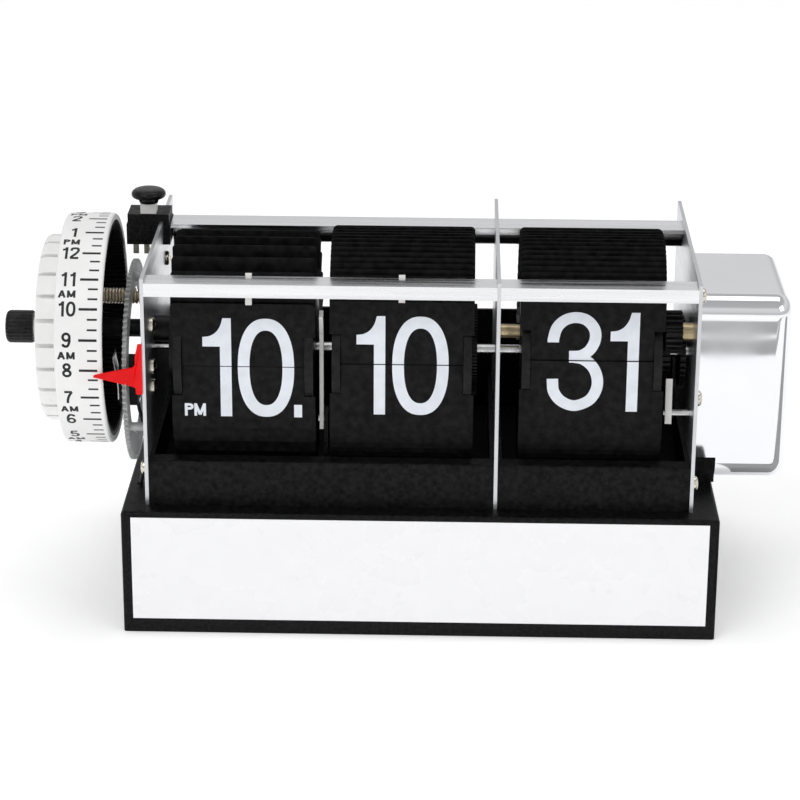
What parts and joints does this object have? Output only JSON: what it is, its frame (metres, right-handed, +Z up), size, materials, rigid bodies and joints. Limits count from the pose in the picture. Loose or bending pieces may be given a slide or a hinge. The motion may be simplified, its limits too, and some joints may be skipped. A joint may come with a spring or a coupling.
{
  "type": "flip number clock",
  "caption": "Open-frame split-card clock on a box base, with hour, minute and date card reels, an alarm dial with a time-setting knob on one end and a motor housing on the other.",
  "frame": {"origin": "centre of the base's flat underside", "axes": "+X along the clock to the reader's right, +Y away from the reader, +Z up"},
  "size_m": [0.2427, 0.1058, 0.1216],
  "materials": {
    "black_plastic": "satin black moulded plastic",
    "tray_plastic": "fine matt black moulded plastic",
    "rubber": "matt",
    "screw_steel": "bright zinc with a light yellow tint",
    "white_panel": "smooth white",
    "plate_steel": "polished sheet steel",
    "bar_aluminium": "fine brushed",
    "reel_plastic": "satin black moulded plastic",
    "card_plastic": "thin satin black cards with white printed figures",
    "shaft_steel": "ground",
    "brass": "turned",
    "spring_brass": "drawn wire",
    "white_plastic": "moulded natural white",
    "milky_plastic": "milky translucent moulded plastic",
    "dial_white": "smooth white with black printed scale",
    "knob_plastic": "glossy black",
    "switch_plastic": "glass-filled black plastic",
    "lead_insulation": "black insulation",
    "red_plastic": "smooth red",
    "terminal_metal": "tinned",
    "chrome_cover": "polished chrome plating",
    "motor_steel": "drawn steel can",
    "battery_wrap": "plain printed wrap"
  },
  "bodies": {
    "frame": {"base_shell": "black_plastic", "base_bottom_plate": "black_plastic", "rubber_pads": "rubber", "base_screws": "screw_steel", "front_panel": "white_panel", "alarm_buzzer": "black_plastic", "left_side_plate": "plate_steel", "middle_side_plate": "plate_steel", "right_side_plate": "plate_steel", "front_bars": "bar_aluminium", "rear_bars": "bar_aluminium", "rear_card_guides": "black_plastic", "card_tray_main": "tray_plastic", "card_tray_date": "tray_plastic", "hour_cards": "card_plastic", "minute_cards": "card_plastic", "date_cards": "card_plastic", "date_bushes": "brass", "dial_backing_ring": "milky_plastic", "knob_bush": "reel_plastic", "tension_spring": "spring_brass", "spring_post": "brass", "micro_switch": "switch_plastic", "switch_lead": "lead_insulation", "alarm_pointer": "red_plastic", "alarm_switch_body": "switch_plastic", "switch_terminals": "terminal_metal", "motor_housing": "chrome_cover", "motor_bracket": "tray_plastic", "drive_motor": "motor_steel", "movement_carriers": "black_plastic", "battery_cell": "battery_wrap", "battery_contacts": "terminal_metal", "card_stop_fingers": "white_plastic", "pawl_pins": "shaft_steel", "frame_screws": "screw_steel"},
    "hour_reel": {"hour_reel": "reel_plastic", "hour_ring_gear": "reel_plastic"},
    "minute_reel": {"minute_reel": "reel_plastic", "main_shaft": "shaft_steel", "hour_drive_wheel": "reel_plastic", "output_gear": "white_plastic"},
    "date_reel": {"date_reel": "reel_plastic", "date_gear": "reel_plastic"},
    "set_knob": {"set_knob": "knob_plastic", "knob_shaft": "shaft_steel", "knob_collar": "white_plastic", "knob_pinion": "brass"},
    "alarm_dial": {"alarm_dial": "dial_white", "dial_ring_gear": "reel_plastic"},
    "date_pinion": {"date_pinion": "reel_plastic"},
    "motor_pinion": {"motor_pinion": "brass"},
    "alarm_button": {"button_stem": "white_plastic", "button_cap": "knob_plastic"},
    "hour_flip_card": {"hour_flip_card": "card_plastic"},
    "minute_flip_card": {"minute_flip_card": "card_plastic"},
    "date_flip_card": {"date_flip_card": "card_plastic"},
    "hour_pawl": {"hour_pawl_lever": "white_plastic"},
    "date_pawl": {"date_pawl_lever": "white_plastic"},
    "switch_leaf": {"switch_leaf": "shaft_steel"}
  },
  "joints": [
    {"name": "hour_reel_spin", "type": "hinge", "parent": "frame", "child": "hour_reel", "pos_m": [-0.0535, -0.017, 0.0811], "axis": [1, 0, 0], "continuous": true},
    {"name": "minute_reel_spin", "type": "hinge", "parent": "frame", "child": "minute_reel", "pos_m": [-0.00595, -0.017, 0.0811], "axis": [1, 0, 0], "continuous": true},
    {"name": "date_reel_spin", "type": "hinge", "parent": "frame", "child": "date_reel", "pos_m": [0.0509, -0.017, 0.0811], "axis": [1, 0, 0], "continuous": true},
    {"name": "set_knob_spin", "type": "hinge", "parent": "frame", "child": "set_knob", "pos_m": [-0.123, -0.017, 0.0866], "axis": [1, 0, 0], "continuous": true},
    {"name": "date_pinion_spin", "type": "hinge", "parent": "frame", "child": "date_pinion", "pos_m": [0.0745, -0.02923, 0.09173], "axis": [1, 0, 0], "continuous": true},
    {"name": "motor_pinion_spin", "type": "hinge", "parent": "frame", "child": "motor_pinion", "pos_m": [0.078, -0.0035, 0.0811], "axis": [1, 0, 0], "continuous": true},
    {"name": "alarm_dial_spin", "type": "hinge", "parent": "frame", "child": "alarm_dial", "pos_m": [-0.1042, -0.017, 0.0866], "axis": [1, 0, 0], "continuous": true},
    {"name": "alarm_button_press", "type": "slide", "parent": "frame", "child": "alarm_button", "axis": [0, 0, -1], "range_m": [0, 0.0019], "stiffness_N_per_m": 400, "springref_m": -0.001},
    {"name": "hour_card_flip", "type": "hinge", "parent": "frame", "child": "hour_flip_card", "pos_m": [-0.0535, -0.03534, 0.08351], "axis": [1, 0, 0], "range_deg": [0, 164]},
    {"name": "minute_card_flip", "type": "hinge", "parent": "frame", "child": "minute_flip_card", "pos_m": [-0.00595, -0.03536, 0.08335], "axis": [1, 0, 0], "range_deg": [0, 158]},
    {"name": "date_card_flip", "type": "hinge", "parent": "frame", "child": "date_flip_card", "pos_m": [0.0509, -0.03503, 0.08523], "axis": [1, 0, 0], "range_deg": [0, 142]},
    {"name": "hour_pawl_rock", "type": "hinge", "parent": "frame", "child": "hour_pawl", "pos_m": [-0.0302, -0.0299, 0.0626], "axis": [1, 0, 0], "range_deg": [-4, 4], "stiffness_Nm_per_rad": 0.002},
    {"name": "date_pawl_rock", "type": "hinge", "parent": "frame", "child": "date_pawl", "pos_m": [0.0745, -0.031, 0.0664], "axis": [1, 0, 0], "range_deg": [-4, 4], "stiffness_Nm_per_rad": 0.002},
    {"name": "switch_leaf_flex", "type": "hinge", "parent": "frame", "child": "switch_leaf", "pos_m": [-0.0914, -0.0309, 0.0695], "axis": [0, 1, 0], "range_deg": [0, 1], "stiffness_Nm_per_rad": 0.02}
  ],
  "couplings": [
    {"joint": "set_knob_spin", "follows": "hour_reel_spin", "ratio": 2.5714},
    {"joint": "date_pinion_spin", "follows": "date_reel_spin", "ratio": -1.7},
    {"joint": "motor_pinion_spin", "follows": "minute_reel_spin", "ratio": -4}
  ]
}
